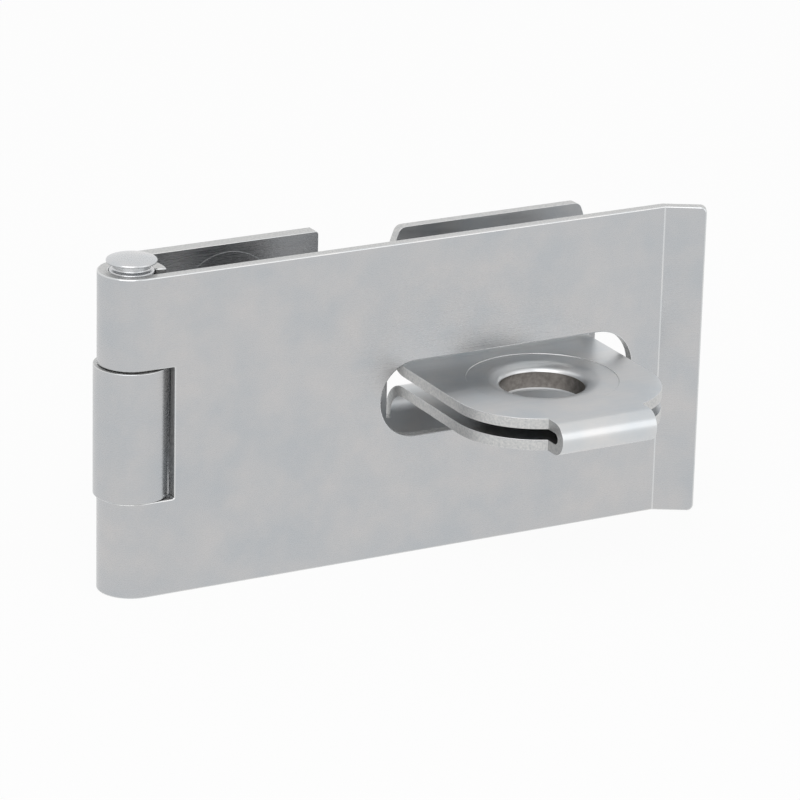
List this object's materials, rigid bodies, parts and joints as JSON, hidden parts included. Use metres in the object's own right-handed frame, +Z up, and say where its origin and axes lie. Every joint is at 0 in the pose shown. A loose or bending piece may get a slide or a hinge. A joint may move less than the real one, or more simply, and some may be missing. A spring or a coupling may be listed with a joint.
{
  "type": "hasp and staple",
  "caption": "Hinged hasp leaf with a slot that swings over a folded staple eye, for a padlock on a door or gate.",
  "frame": {"origin": "middle of the fixed leaf's two screw holes, on the surface that the leaf and the staple are screwed to", "axes": "+Z up along the hinge pin, +X from the pin towards the lip, +Y into the door, so the eye stands out along -Y"},
  "size_m": [0.0902, 0.0356, 0.0471],
  "materials": {
    "zinc_sheet": "bright zinc plating on cold-rolled steel sheet",
    "zinc_wire": "bright zinc plating on steel wire"
  },
  "bodies": {
    "fixed_leaf": {"fixed_leaf": "zinc_sheet", "hinge_pin": "zinc_wire"},
    "hasp_leaf": {"hasp_leaf": "zinc_sheet"},
    "staple": {"staple": "zinc_sheet"}
  },
  "joints": [
    {"name": "hasp_swing", "type": "hinge", "parent": "fixed_leaf", "child": "hasp_leaf", "pos_m": [-0.0165, -0.00685, 0], "axis": [0, 0, -1], "range_deg": [0, 179]},
    {"name": "staple_withdrawal", "type": "slide", "parent": "fixed_leaf", "child": "staple", "axis": [0, 1, 0], "range_m": [0, 0.036]}
  ]
}
